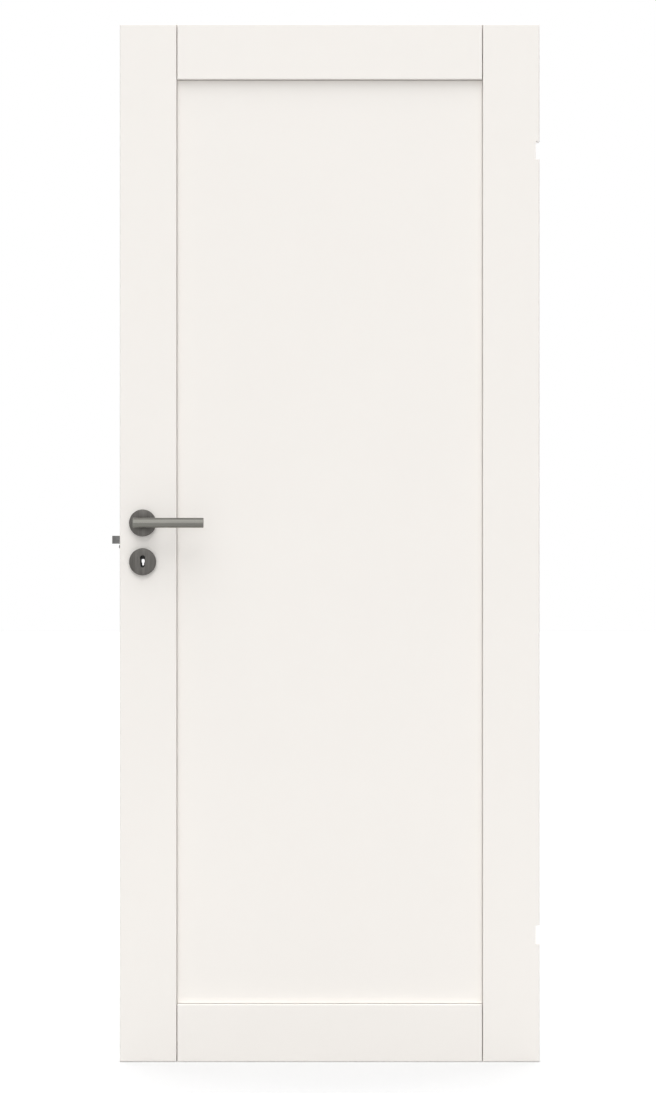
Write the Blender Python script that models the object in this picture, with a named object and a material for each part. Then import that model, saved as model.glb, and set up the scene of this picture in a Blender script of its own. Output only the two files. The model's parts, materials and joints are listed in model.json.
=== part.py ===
# Interior door leaf: a painted frame of two stiles and two rails round one flat recessed panel,
# with a mortise lock, a latch bolt, a dead bolt and a bar lever on a round rose on each face.
#
# The frame of the part: +X runs from the lock edge to the hinge edge, the front face looks
# towards -Y, and +Z is up. The origin is on the seat that the lower hinge is screwed to, which is
# the inner wall of the lower notch in the hinge edge, midway through the thickness.

import math

import bmesh
import bpy
from mathutils import Matrix

# Door leaf, in metres
LEAF_WIDTH = 0.825
LEAF_HEIGHT = 2.040
LEAF_THICKNESS = 0.040
STILE_WIDTH = 0.1115
TOP_RAIL_HEIGHT = 0.1087
BOTTOM_RAIL_HEIGHT = 0.113
PANEL_THICKNESS = 0.016
TONGUE_THICKNESS = 0.008
GROOVE_DEPTH = 0.012
EDGE_ROUND = 0.0025
JOINT_ROUND = 0.0015
ROUND_SEGMENTS = 3

# Notches for the hinges in the hinge edge
NOTCH_HEIGHT = 0.036
NOTCH_DEPTH = 0.0075
LOWER_NOTCH_RISE = 0.250
UPPER_NOTCH_DROP = 0.248

# Places of the lever, the key and the bolts
BACKSET = 0.045
LEVER_RISE = 1.0594
ESCUTCHEON_DROP = 0.0763
LATCH_DROP = 0.033
DEAD_BOLT_DROP = 0.0466

# Lever and spindle
LEVER_DIAMETER = 0.0195
LEVER_REACH = 0.1211
LEVER_TAIL = 0.0172
LEVER_STANDOFF = 0.050
LEVER_END_ROUND = 0.001
NECK_DIAMETER = 0.016
NECK_FOOT_GAP = 0.001
SPINDLE_SIDE = 0.008
SPINDLE_LENGTH = 0.096
SOCKET_DEPTH = 0.031

# Roses and escutcheons
ROSE_DIAMETER = 0.053
ROSE_THICKNESS = 0.008
ROSE_EDGE_ROUND = 0.0015
ESCUTCHEON_DIAMETER = 0.053
ESCUTCHEON_THICKNESS = 0.008
COVER_WALL = 0.0012
BUSH_WALL = 0.0012
ESCUTCHEON_BASE_BORE = 0.034

# Keyholes: the wide one in the escutcheons and the narrow one in the lock case. Both rises are
# measured from the middle of the escutcheon, to the middle of the wide one and to the key's axis.
KEYHOLE_HEAD = 0.010
KEYHOLE_SLOT = 0.0083
KEYHOLE_HEIGHT = 0.0236
KEYHOLE_RISE = 0.0008
CASE_KEYHOLE_HEAD = 0.008
CASE_KEYHOLE_SLOT = 0.0041
CASE_KEYHOLE_HEIGHT = 0.0129
KEY_AXIS_RISE = 0.0015

# Lock case and forend
FOREND_WIDTH = 0.022
FOREND_HEIGHT = 0.180
FOREND_THICKNESS = 0.003
CASE_THICKNESS = 0.015
CASE_WALL = 0.0015
CASE_DEPTH = 0.070
CASE_RISE = 0.029
CASE_DROP = 0.103
HANDLE_HOLE = 0.020
KEY_SLOT_WIDTH = 0.016
KEY_SLOT_HEIGHT = 0.034
SCREW_INSET = 0.010
SCREW_HEAD = 0.0084
SCREW_HOLE = 0.0045
SCREW_PILOT = 0.003
SCREW_LENGTH = 0.030

# Lock work inside the case
HUB_DIAMETER = 0.0174
CAM_DIAMETER = 0.022
CAM_THICKNESS = 0.005
CAM_ARM_WIDTH = 0.006
LEVER_TURN = math.radians(45.0)
LATCH_THROW = 0.0158
LATCH_REACH = 0.0162
LATCH_HEIGHT = 0.0156
LATCH_NOSE = 0.0025
TAIL_PLATE_THICKNESS = 0.0025
TAIL_STRIP_WIDTH = 0.0075
LUG_SIZE = 0.004
DEAD_BOLT_HEIGHT = 0.0075
DEAD_BOLT_PROUD = 0.0023
DEAD_BOLT_THROW = 0.012
DEAD_BOLT_BODY = 0.030
DEAD_BOLT_TAIL = 0.062
TALON_DROP = 0.009
TALON_WIDTH = 0.009

# Clearances between pieces that touch and pieces that slide past each other, and the dark lines
# that show between a stile and a rail, and between the field of the panel and the frame
SEAT_GAP = 0.0003
RUN_GAP = 0.0005
BOLT_SIDE_GAP = 0.0005
JOINT_GAP = 0.0014
FIELD_GAP = 0.0012

# Facets of the round pieces
TURN_STEPS = 64
BAR_STEPS = 48
SCREW_STEPS = 24
ARC_STEPS = 12

# Places that follow from the sizes above
HINGE_EDGE_X = NOTCH_DEPTH
LOCK_EDGE_X = HINGE_EDGE_X - LEAF_WIDTH
BOTTOM_Z = -LOWER_NOTCH_RISE
FACE_Y = LEAF_THICKNESS / 2
HANDLE_X = LOCK_EDGE_X + BACKSET
HANDLE_Z = BOTTOM_Z + LEVER_RISE
ESCUTCHEON_Z = HANDLE_Z - ESCUTCHEON_DROP

PAINT = ("satin white paint", (0.887, 0.863, 0.823), 0.45, 0.0)
DARK_STEEL = ("brushed dark steel", (0.16, 0.158, 0.148), 0.38, 1.0)
PALE_STEEL = ("brushed steel", (0.34, 0.335, 0.32), 0.34, 1.0)
ZINC = ("zinc plated steel", (0.42, 0.42, 0.41), 0.45, 1.0)
CASE_PAINT = ("black lock case", (0.02, 0.02, 0.02), 0.55, 0.0)
NYLON = ("black nylon", (0.03, 0.03, 0.03), 0.6, 0.0)


def clear_objects():
    """Take away whatever the new file holds."""
    for old in list(bpy.data.objects):
        bpy.data.objects.remove(old, do_unlink=True)


def material(finish):
    """A plain Principled material, made once for each finish."""
    name, colour, roughness, metallic = finish
    found = bpy.data.materials.get(name)
    if found:
        return found
    made = bpy.data.materials.new(name)
    made.use_nodes = True
    shader = made.node_tree.nodes["Principled BSDF"]
    shader.inputs["Base Color"].default_value = (*colour, 1.0)
    shader.inputs["Roughness"].default_value = roughness
    shader.inputs["Metallic"].default_value = metallic
    return made


def empty(name, location):
    """An empty that carries the pieces which belong together."""
    holder = bpy.data.objects.new(name, None)
    holder.location = location
    bpy.context.scene.collection.objects.link(holder)
    return holder


def add_object(name, bm, finish=None, parent=None, location=(0.0, 0.0, 0.0)):
    """Turn a bmesh into a named object under its parent."""
    bmesh.ops.recalc_face_normals(bm, faces=bm.faces)
    mesh = bpy.data.meshes.new(name)
    bm.to_mesh(mesh)
    bm.free()
    if finish:
        mesh.materials.append(material(finish))
    made = bpy.data.objects.new(name, mesh)
    made.parent = parent
    made.location = location
    bpy.context.scene.collection.objects.link(made)
    return made


def shade_round(piece, angle=35.0):
    """Smooth the round faces and keep the arrises sharp."""
    piece.data.shade_smooth()
    piece.data.set_sharp_from_angle(angle=math.radians(angle))


def prism(outline, axis, low, high):
    """Extrude a flat outline of (a, b) points along one axis, from low to high.

    The outline lies in XZ for axis "Y", in YZ for axis "X" and in XY for axis "Z".
    """
    place = {
        "X": lambda a, b, c: (c, a, b),
        "Y": lambda a, b, c: (a, c, b),
        "Z": lambda a, b, c: (a, b, c),
    }[axis]
    bm = bmesh.new()
    verts = [bm.verts.new(place(a, b, low)) for a, b in outline]
    face = bm.faces.new(verts)
    grown = bmesh.ops.extrude_face_region(bm, geom=[face])
    moved = [item for item in grown["geom"] if isinstance(item, bmesh.types.BMVert)]
    bmesh.ops.translate(bm, verts=moved, vec=place(0.0, 0.0, high - low))
    return bm


def box(low, high):
    """A box between two corners."""
    outline = rectangle(low[0], low[2], high[0], high[2])
    return prism(outline, "Y", low[1], high[1])


def rectangle(left, bottom, right, top):
    """The four corners of a rectangle."""
    return [(left, bottom), (right, bottom), (right, top), (left, top)]


def arc(centre, radius, start, end, steps=ARC_STEPS):
    """Points along an arc, with angles in degrees, both ends included."""
    points = []
    for step in range(steps + 1):
        angle = math.radians(start + (end - start) * step / steps)
        points.append((centre[0] + radius * math.cos(angle), centre[1] + radius * math.sin(angle)))
    return points


def stadium(width, height):
    """An upright slot outline with round ends, centred on the origin."""
    radius = width / 2
    straight = height / 2 - radius
    return arc((0.0, straight), radius, 0, 180) + arc((0.0, -straight), radius, 180, 360)


def circle(diameter, steps=SCREW_STEPS):
    """A round outline, centred on the origin."""
    return arc((0.0, 0.0), diameter / 2, 0, 360 - 360 / steps, steps - 1)


def keyhole(head, slot, height, head_centre):
    """A keyhole outline: a round head for the shank above a round-ended slot for the bit."""
    head_radius = head / 2
    slot_radius = slot / 2
    spread = math.degrees(math.asin(slot_radius / head_radius))
    slot_centre = head_centre + head_radius - height + slot_radius
    round_head = arc((0.0, head_centre), head_radius, -90 + spread, 270 - spread, 2 * ARC_STEPS)
    return round_head + arc((0.0, slot_centre), slot_radius, 180, 360)


def turned(profile, steps=TURN_STEPS):
    """Spin a profile of (radius, y) points about the Y axis.

    A profile that starts and ends on the axis is closed by it, and any other profile is a loop.
    """
    bm = bmesh.new()
    verts = [bm.verts.new((radius, depth, 0.0)) for radius, depth in profile]
    edges = [bm.edges.new(pair) for pair in zip(verts, verts[1:])]
    if profile[0][0] > 0.0:
        edges.append(bm.edges.new((verts[-1], verts[0])))
    bmesh.ops.spin(
        bm,
        geom=verts + edges,
        cent=(0.0, 0.0, 0.0),
        axis=(0.0, 1.0, 0.0),
        angle=2 * math.pi,
        steps=steps,
        use_merge=True,
    )
    bmesh.ops.remove_doubles(bm, verts=bm.verts, dist=1e-6)
    return bm


def drill(diameter, half_length):
    """A round cutter along Y, to both sides of the middle of the leaf."""
    radius = diameter / 2
    profile = [(0.0, -half_length), (radius, -half_length), (radius, half_length), (0.0, half_length)]
    return turned(profile, BAR_STEPS)


def hidden_shape(piece, name, bm, location):
    """A shape that only a Boolean uses, placed in its piece's own frame."""
    shape = add_object(name, bm, parent=piece, location=location)
    shape.hide_render = True
    shape.display_type = "WIRE"
    return shape


def weld(piece, name, bm, location=(0.0, 0.0, 0.0)):
    """Add a hidden shape to a piece, so that both are one body."""
    boolean = piece.modifiers.new(name, "BOOLEAN")
    boolean.operation = "UNION"
    boolean.solver = "EXACT"
    boolean.object = hidden_shape(piece, name, bm, location)


def cut(piece, name, bm, location=(0.0, 0.0, 0.0)):
    """Take a hidden shape away from a piece. All the shapes cut from a piece go in one Boolean."""
    shape = hidden_shape(piece, name, bm, location)
    group_name = piece.name + " cutters"
    group = bpy.data.collections.get(group_name)
    if group is None:
        group = bpy.data.collections.new(group_name)
        boolean = piece.modifiers.new(group_name, "BOOLEAN")
        boolean.operation = "DIFFERENCE"
        boolean.solver = "EXACT"
        boolean.operand_type = "COLLECTION"
        boolean.collection = group
    group.objects.link(shape)


def round_arrises(piece, radius_of_edge):
    """Round each edge of the faces by the radius that radius_of_edge gives for it."""
    largest = max(EDGE_ROUND, JOINT_ROUND)
    bm = bmesh.new()
    bm.from_mesh(piece.data)
    weights = bm.edges.layers.float.new("bevel_weight_edge")
    for edge in bm.edges:
        edge[weights] = radius_of_edge(edge) / largest
    bm.to_mesh(piece.data)
    bm.free()
    bevel = piece.modifiers.new("rounded arrises", "BEVEL")
    bevel.limit_method = "WEIGHT"
    bevel.width = largest
    bevel.segments = ROUND_SEGMENTS


def on_plane(edge, index, value):
    """True where both ends of an edge lie on the plane whose coordinate index has this value."""
    return all(abs(vert.co[index] - value) < 1e-6 for vert in edge.verts)


def on_face(edge):
    """True where an edge lies in the front or the back face of the leaf."""
    return on_plane(edge, 1, -FACE_Y) or on_plane(edge, 1, FACE_Y)


def stile(name, parent, outer_x, inward):
    """A stile from its outer edge at outer_x; inward is 1 or -1, towards the panel."""
    inner_x = inward * STILE_WIDTH
    groove_x = inward * (STILE_WIDTH - GROOVE_DEPTH)
    groove_half = TONGUE_THICKNESS / 2 + SEAT_GAP
    outline = [
        (0.0, -FACE_Y),
        (inner_x, -FACE_Y),
        (inner_x, -groove_half),
        (groove_x, -groove_half),
        (groove_x, groove_half),
        (inner_x, groove_half),
        (inner_x, FACE_Y),
        (0.0, FACE_Y),
    ]
    piece = add_object(name, prism(outline, "Z", 0.0, LEAF_HEIGHT), PAINT, parent, (outer_x, 0.0, 0.0))

    def radius_of_edge(edge):
        if not on_face(edge):
            return 0.0
        if on_plane(edge, 0, inner_x):
            return JOINT_ROUND
        return EDGE_ROUND

    round_arrises(piece, radius_of_edge)
    return piece


def rail(name, parent, height, bottom_z, panel_side):
    """A rail with stub tenons; panel_side is 1 where the panel is above it and -1 where below."""
    shoulder_x = LEAF_WIDTH / 2 - STILE_WIDTH - JOINT_GAP
    tenon_x = tongue_half_width()
    tenon_half = TONGUE_THICKNESS / 2
    outline = [
        (-shoulder_x, -FACE_Y),
        (shoulder_x, -FACE_Y),
        (shoulder_x, -tenon_half),
        (tenon_x, -tenon_half),
        (tenon_x, tenon_half),
        (shoulder_x, tenon_half),
        (shoulder_x, FACE_Y),
        (-shoulder_x, FACE_Y),
        (-shoulder_x, tenon_half),
        (-tenon_x, tenon_half),
        (-tenon_x, -tenon_half),
        (-shoulder_x, -tenon_half),
    ]
    location = (LEAF_WIDTH / 2, 0.0, bottom_z)
    piece = add_object(name, prism(outline, "Z", 0.0, height), PAINT, parent, location)
    outer_z = 0.0 if panel_side > 0 else height
    inner_z = height - outer_z

    def radius_of_edge(edge):
        if not on_face(edge):
            return 0.0
        if on_plane(edge, 2, outer_z):
            return EDGE_ROUND
        return JOINT_ROUND

    round_arrises(piece, radius_of_edge)
    groove_half = TONGUE_THICKNESS / 2 + SEAT_GAP
    groove_z = inner_z - panel_side * GROOVE_DEPTH
    beyond_z = inner_z + panel_side * GROOVE_DEPTH
    groove = box(
        (-LEAF_WIDTH / 2, -groove_half, min(groove_z, beyond_z)),
        (LEAF_WIDTH / 2, groove_half, max(groove_z, beyond_z)),
    )
    cut(piece, name + " groove", groove)
    return piece


def tongue_half_width():
    """Half of the width between the bottoms of the stiles' grooves, less the gap to both."""
    return LEAF_WIDTH / 2 - STILE_WIDTH + GROOVE_DEPTH - SEAT_GAP


def panel(parent):
    """The flat panel: a tongue all round stands in the grooves of the frame.

    The thicker field between the tongues stops short of the frame, so that it can swell.
    """
    half_width = tongue_half_width()
    half_tongue = TONGUE_THICKNESS / 2
    bottom = BOTTOM_RAIL_HEIGHT - GROOVE_DEPTH + SEAT_GAP
    top = LEAF_HEIGHT - TOP_RAIL_HEIGHT + GROOVE_DEPTH - SEAT_GAP
    tongue = box((-half_width, -half_tongue, bottom), (half_width, half_tongue, top))
    piece = add_object("panel", tongue, PAINT, parent, (LEAF_WIDTH / 2, 0.0, 0.0))

    half_field = LEAF_WIDTH / 2 - STILE_WIDTH - FIELD_GAP
    half_thickness = PANEL_THICKNESS / 2
    field_bottom = BOTTOM_RAIL_HEIGHT + FIELD_GAP
    field_top = LEAF_HEIGHT - TOP_RAIL_HEIGHT - FIELD_GAP
    field = box((-half_field, -half_thickness, field_bottom), (half_field, half_thickness, field_top))
    weld(piece, "panel field", field)
    return piece


def hinge_notches(piece):
    """Cut the two notches for the hinges through the outer edge of the hinge stile."""
    half = NOTCH_HEIGHT / 2
    for name, centre_z in (("lower", LOWER_NOTCH_RISE), ("upper", LEAF_HEIGHT - UPPER_NOTCH_DROP)):
        notch = box(
            (-NOTCH_DEPTH, -LEAF_THICKNESS, centre_z - half),
            (NOTCH_DEPTH, LEAF_THICKNESS, centre_z + half),
        )
        cut(piece, name + " hinge notch", notch)


def case_centre():
    """Height of the middle of the lock case and of the forend, from the lever axis."""
    return (CASE_RISE - CASE_DROP) / 2


def lock_mortise(piece):
    """Cut the pocket for the lock case, the seat of the forend and the holes in the faces."""
    centre_z = LEVER_RISE + case_centre()
    half_height = (CASE_RISE + CASE_DROP) / 2 + SEAT_GAP
    half_thickness = CASE_THICKNESS / 2 + SEAT_GAP
    pocket_end = FOREND_THICKNESS + SEAT_GAP + CASE_DEPTH + SEAT_GAP
    pocket = box(
        (-FOREND_THICKNESS, -half_thickness, centre_z - half_height),
        (pocket_end, half_thickness, centre_z + half_height),
    )
    cut(piece, "lock pocket", pocket)
    outline = stadium(FOREND_WIDTH + 2 * SEAT_GAP, FOREND_HEIGHT + 2 * SEAT_GAP)
    seat = prism(outline, "X", -FOREND_THICKNESS, FOREND_THICKNESS + SEAT_GAP)
    cut(piece, "forend seat", seat, (0.0, 0.0, centre_z))
    cut(piece, "handle hole", drill(HANDLE_HOLE, LEAF_THICKNESS), (BACKSET, 0.0, LEVER_RISE))
    key_slot = prism(stadium(KEY_SLOT_WIDTH, KEY_SLOT_HEIGHT), "Y", -LEAF_THICKNESS, LEAF_THICKNESS)
    cut(piece, "key slot", key_slot, (BACKSET, 0.0, LEVER_RISE - ESCUTCHEON_DROP))
    for name, rise in screw_rises():
        pilot = prism(circle(SCREW_PILOT), "X", 0.0, SCREW_LENGTH)
        cut(piece, name + " pilot hole", pilot, (0.0, 0.0, centre_z + rise))


def screw_rises():
    """The two screws of the forend, and how far above its middle they lie."""
    rise = FOREND_HEIGHT / 2 - SCREW_INSET
    return ("upper screw", rise), ("lower screw", -rise)


def bolt_thickness():
    """Thickness of both bolts, which fill the case between its walls."""
    return CASE_THICKNESS - 2 * CASE_WALL - 2 * BOLT_SIDE_GAP


def countersink():
    """A screw hole through the forend along X, with a cone that takes the screw's head."""
    depth = (SCREW_HEAD - SCREW_HOLE) / 2
    reach = FOREND_THICKNESS
    bm = prism(circle(SCREW_HOLE), "X", -reach, 2 * reach)
    cone = bmesh.ops.create_cone(
        bm,
        cap_ends=True,
        segments=SCREW_STEPS,
        radius1=SCREW_HEAD / 2 + depth,
        radius2=SCREW_HOLE / 2,
        depth=2 * depth,
    )
    turn = Matrix.Rotation(math.radians(90.0), 3, "Y")
    bmesh.ops.rotate(bm, verts=cone["verts"], matrix=turn)
    return bm


def forend(parent):
    """The forend: a round-ended plate, flush in the lock edge, with a window for each bolt."""
    plate = prism(stadium(FOREND_WIDTH, FOREND_HEIGHT), "X", 0.0, FOREND_THICKNESS)
    piece = add_object("lock_forend", plate, ZINC, parent, (0.0, 0.0, case_centre()))
    half_width = bolt_thickness() / 2 + SEAT_GAP
    windows = (
        ("latch window", LATCH_DROP, LATCH_HEIGHT),
        ("dead bolt window", DEAD_BOLT_DROP, DEAD_BOLT_HEIGHT),
    )
    for name, drop, height in windows:
        centre_z = -drop - case_centre()
        half_height = height / 2 + SEAT_GAP
        window = box(
            (-FOREND_THICKNESS, -half_width, centre_z - half_height),
            (2 * FOREND_THICKNESS, half_width, centre_z + half_height),
        )
        cut(piece, name, window)
    for name, rise in screw_rises():
        cut(piece, name + " countersink", countersink(), (0.0, 0.0, rise))
    return piece


def lock_case(parent):
    """The lock case: a box of sheet steel, open behind the forend, with its follower bores."""
    front = FOREND_THICKNESS + SEAT_GAP
    back = front + CASE_DEPTH
    half = CASE_THICKNESS / 2
    shell = box((front, -half, -CASE_DROP), (back, half, CASE_RISE))
    piece = add_object("lock_case", shell, CASE_PAINT, parent)
    inner = box(
        (front - CASE_WALL, -half + CASE_WALL, -CASE_DROP + CASE_WALL),
        (back - CASE_WALL, half - CASE_WALL, CASE_RISE - CASE_WALL),
    )
    cut(piece, "case hollow", inner)
    bore = drill(HUB_DIAMETER + 2 * SEAT_GAP, CASE_THICKNESS)
    cut(piece, "follower bores", bore, (BACKSET, 0.0, 0.0))
    outline = keyhole(CASE_KEYHOLE_HEAD, CASE_KEYHOLE_SLOT, CASE_KEYHOLE_HEIGHT, KEY_AXIS_RISE)
    keyway = prism(outline, "Y", -CASE_THICKNESS, CASE_THICKNESS)
    cut(piece, "case keyhole", keyway, (BACKSET, 0.0, -ESCUTCHEON_DROP))
    return piece


def cam_layer():
    """The two sides of the layer that the follower's cam turns in, measured along Y."""
    low = -bolt_thickness() / 2
    return low, low + CAM_THICKNESS


def cam_pitch():
    """Distance from the lever axis to the centre of the cam's round tip."""
    return LATCH_THROW / LEVER_TURN


def follower(parent):
    """The follower: a hub in the case's two bores, with a cam whose arm draws the latch back."""
    half = CASE_THICKNESS / 2
    hub_radius = HUB_DIAMETER / 2
    cam_radius = CAM_DIAMETER / 2
    cam_low, cam_high = cam_layer()
    profile = [
        (0.0, -half),
        (hub_radius, -half),
        (hub_radius, cam_low),
        (cam_radius, cam_low),
        (cam_radius, cam_high),
        (hub_radius, cam_high),
        (hub_radius, half),
        (0.0, half),
    ]
    piece = add_object("lock_follower", turned(profile, BAR_STEPS), ZINC, parent)
    arm_radius = CAM_ARM_WIDTH / 2
    arm = [(-arm_radius, 0.0), (arm_radius, 0.0)] + arc((0.0, cam_pitch()), arm_radius, 0, 180)
    weld(piece, "cam arm", prism(arm, "Y", cam_low, cam_high))
    side = SPINDLE_SIDE / 2 + SEAT_GAP
    square = box((-side, -CASE_THICKNESS, -side), (side, CASE_THICKNESS, side))
    cut(piece, "spindle square", square)
    shade_round(piece)
    return piece


def spindle(parent):
    """The square spindle that joins both levers through the follower."""
    half_side = SPINDLE_SIDE / 2
    half_length = SPINDLE_LENGTH / 2
    bm = box((-half_side, -half_length, -half_side), (half_side, half_length, half_side))
    return add_object("spindle", bm, ZINC, parent)


def latch_bolt(parent):
    """The latch bolt: a head with a curved slope to the front, and a tail plate with its lug."""
    half = bolt_thickness() / 2
    strip_right = BACKSET - HUB_DIAMETER / 2 - LATCH_THROW - 2 * RUN_GAP
    strip_left = strip_right - TAIL_STRIP_WIDTH
    slope_depth = 2 * half - LATCH_NOSE
    slope = []
    for step in range(ARC_STEPS + 1):
        turn = math.pi / 2 * step / ARC_STEPS
        x = -LATCH_REACH * math.cos(turn)
        y = half - LATCH_NOSE - slope_depth * math.sin(turn)
        slope.append((x, y))
    head = [(-LATCH_REACH, half)] + slope + [(strip_right, -half), (strip_right, half)]
    half_height = LATCH_HEIGHT / 2
    body = prism(head, "Z", -half_height, half_height)
    piece = add_object("latch_bolt", body, ZINC, parent, (0.0, 0.0, -LATCH_DROP))

    lug_low = LATCH_DROP + CAM_DIAMETER / 2 + RUN_GAP
    lug_top = lug_low + LUG_SIZE
    lug_left = BACKSET + CAM_ARM_WIDTH / 2 + SEAT_GAP
    lug_right = lug_left + LUG_SIZE
    plate_low = cam_layer()[1] + 2 * RUN_GAP
    plate_high = plate_low + TAIL_PLATE_THICKNESS
    tail = [
        (strip_left, 0.0),
        (strip_right, 0.0),
        (strip_right, lug_low),
        (lug_right, lug_low),
        (lug_right, lug_top),
        (strip_left, lug_top),
    ]
    weld(piece, "tail plate", prism(tail, "Y", plate_low, plate_high))
    lug = box((lug_left, cam_layer()[0], lug_low), (lug_right, plate_high, lug_top))
    weld(piece, "tail lug", lug)
    shade_round(piece)
    return piece


def dead_bolt(parent):
    """The dead bolt, drawn back: a bar with a domed nose, and a tail that the key's bit drives."""
    half = bolt_thickness() / 2
    half_height = DEAD_BOLT_HEIGHT / 2
    nose = []
    for step in range(ARC_STEPS + 1):
        turn = math.pi * step / ARC_STEPS
        nose.append((-DEAD_BOLT_PROUD * math.sin(turn), half_height * math.cos(turn)))
    outline = nose + [(DEAD_BOLT_BODY, -half_height), (DEAD_BOLT_BODY, half_height)]
    body = prism(outline, "Y", -half, half)
    piece = add_object("dead_bolt", body, ZINC, parent, (0.0, 0.0, -DEAD_BOLT_DROP))

    notch_centre = BACKSET + DEAD_BOLT_THROW / 2
    notch_radius = TALON_WIDTH / 2
    low = -half_height - TALON_DROP
    plate_half = TAIL_PLATE_THICKNESS / 2
    notch_top = low + notch_radius
    tail = [(DEAD_BOLT_BODY - TALON_DROP, low), (notch_centre - notch_radius, low)]
    tail += arc((notch_centre, notch_top), notch_radius, 180, 0)
    tail += [
        (notch_centre + notch_radius, low),
        (DEAD_BOLT_TAIL, low),
        (DEAD_BOLT_TAIL, half_height),
        (DEAD_BOLT_BODY - TALON_DROP, half_height),
    ]
    weld(piece, "dead bolt tail", prism(tail, "Y", -plate_half, plate_half))
    return piece


def lever(name, parent, turn):
    """A bar lever: a round bar across the end of a round neck, with a square socket."""
    neck_radius = NECK_DIAMETER / 2
    bar_y = -FACE_Y - LEVER_STANDOFF
    foot_y = -FACE_Y - NECK_FOOT_GAP
    ring = [(bar_y + y, z) for y, z in circle(LEVER_DIAMETER, BAR_STEPS)]
    bm = prism(ring, "X", -LEVER_TAIL, LEVER_REACH)
    end_edges = [
        edge for edge in bm.edges
        if on_plane(edge, 0, -LEVER_TAIL) or on_plane(edge, 0, LEVER_REACH)
    ]
    bmesh.ops.bevel(
        bm,
        geom=end_edges,
        offset=LEVER_END_ROUND,
        segments=ROUND_SEGMENTS,
        profile=0.5,
        affect="EDGES",
    )
    piece = add_object(name, bm, PALE_STEEL, parent)
    piece.rotation_euler = (turn, 0.0, 0.0)
    neck_profile = [(0.0, bar_y), (neck_radius, bar_y), (neck_radius, foot_y), (0.0, foot_y)]
    weld(piece, name + " neck", turned(neck_profile, BAR_STEPS))
    side = SPINDLE_SIDE / 2 + SEAT_GAP
    socket = box((-side, foot_y - SOCKET_DEPTH, -side), (side, 0.0, side))
    cut(piece, name + " socket", socket)
    shade_round(piece)
    return piece


def round_piece(name, profile, finish, parent, turn):
    """A turned piece of the front face, turned over onto the back face by half a turn about X."""
    piece = add_object(name, turned(profile), finish, parent)
    piece.rotation_euler = (turn, 0.0, 0.0)
    shade_round(piece)
    return piece


def cover_edge(diameter, thickness):
    """The outer line of a round cover: from its foot on the door, up its rim and over its edge."""
    radius = diameter / 2
    foot_y = -FACE_Y - SEAT_GAP
    top_y = -FACE_Y - thickness
    turn_centre = (radius - ROSE_EDGE_ROUND, top_y + ROSE_EDGE_ROUND)
    return [(radius, foot_y)] + arc(turn_centre, ROSE_EDGE_ROUND, 0, -90, ROUND_SEGMENTS + 1)


def bush_radius():
    """Outer radius of the collar that guides a neck through its rose."""
    return NECK_DIAMETER / 2 + SEAT_GAP + BUSH_WALL


def rose(name, parent, turn):
    """The round cover of a rose: a turned cap with a bore for the bush round the neck."""
    inner = ROSE_DIAMETER / 2 - COVER_WALL
    bore = bush_radius() + SEAT_GAP
    top_y = -FACE_Y - ROSE_THICKNESS
    under_y = top_y + COVER_WALL
    profile = cover_edge(ROSE_DIAMETER, ROSE_THICKNESS)
    profile += [(bore, top_y), (bore, under_y), (inner, under_y), (inner, -FACE_Y - SEAT_GAP)]
    return round_piece(name, profile, DARK_STEEL, parent, turn)


def rose_base(name, parent, turn):
    """The base of a rose, screwed to the door; its collar guides the neck through the cover."""
    outer = ROSE_DIAMETER / 2 - COVER_WALL - SEAT_GAP
    bore = NECK_DIAMETER / 2 + SEAT_GAP
    foot_y = -FACE_Y - SEAT_GAP
    cover_y = -FACE_Y - ROSE_THICKNESS
    top_y = cover_y + COVER_WALL + SEAT_GAP
    profile = [
        (outer, foot_y),
        (outer, top_y),
        (bush_radius(), top_y),
        (bush_radius(), cover_y),
        (bore, cover_y),
        (bore, foot_y),
    ]
    return round_piece(name, profile, NYLON, parent, turn)


def escutcheon_base(name, parent, turn):
    """The base of an escutcheon: a ring that is screwed to the door and that the cover snaps over."""
    outer = ESCUTCHEON_DIAMETER / 2 - COVER_WALL - SEAT_GAP
    bore = ESCUTCHEON_BASE_BORE / 2
    foot_y = -FACE_Y - SEAT_GAP
    top_y = -FACE_Y - ESCUTCHEON_THICKNESS + COVER_WALL + SEAT_GAP
    profile = [(outer, foot_y), (outer, top_y), (bore, top_y), (bore, foot_y)]
    return round_piece(name, profile, NYLON, parent, turn)


def escutcheon(name, parent, turn):
    """The round cover of the keyhole: a turned cap with a keyhole through its face."""
    inner = ESCUTCHEON_DIAMETER / 2 - COVER_WALL
    top_y = -FACE_Y - ESCUTCHEON_THICKNESS
    under_y = top_y + COVER_WALL
    profile = [(0.0, under_y), (inner, under_y), (inner, -FACE_Y - SEAT_GAP)]
    profile += cover_edge(ESCUTCHEON_DIAMETER, ESCUTCHEON_THICKNESS)
    profile += [(0.0, top_y)]
    piece = add_object(name, turned(profile), DARK_STEEL, parent)
    piece.rotation_euler = (0.0, 0.0, turn)
    head_centre = KEYHOLE_RISE + KEYHOLE_HEIGHT / 2 - KEYHOLE_HEAD / 2
    outline = keyhole(KEYHOLE_HEAD, KEYHOLE_SLOT, KEYHOLE_HEIGHT, head_centre)
    cut(piece, name + " keyhole", prism(outline, "Y", top_y - COVER_WALL, -FACE_Y))
    shade_round(piece)
    return piece


def build_frame():
    """The four members of the frame and the panel that stands in their grooves."""
    leaf = empty("leaf_corner", (LOCK_EDGE_X, 0.0, BOTTOM_Z))
    lock_stile = stile("lock_stile", leaf, 0.0, 1)
    lock_mortise(lock_stile)
    hinge_stile = stile("hinge_stile", leaf, LEAF_WIDTH, -1)
    hinge_notches(hinge_stile)
    rail("bottom_rail", leaf, BOTTOM_RAIL_HEIGHT, 0.0, 1)
    rail("top_rail", leaf, TOP_RAIL_HEIGHT, LEAF_HEIGHT - TOP_RAIL_HEIGHT, -1)
    panel(leaf)


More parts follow.
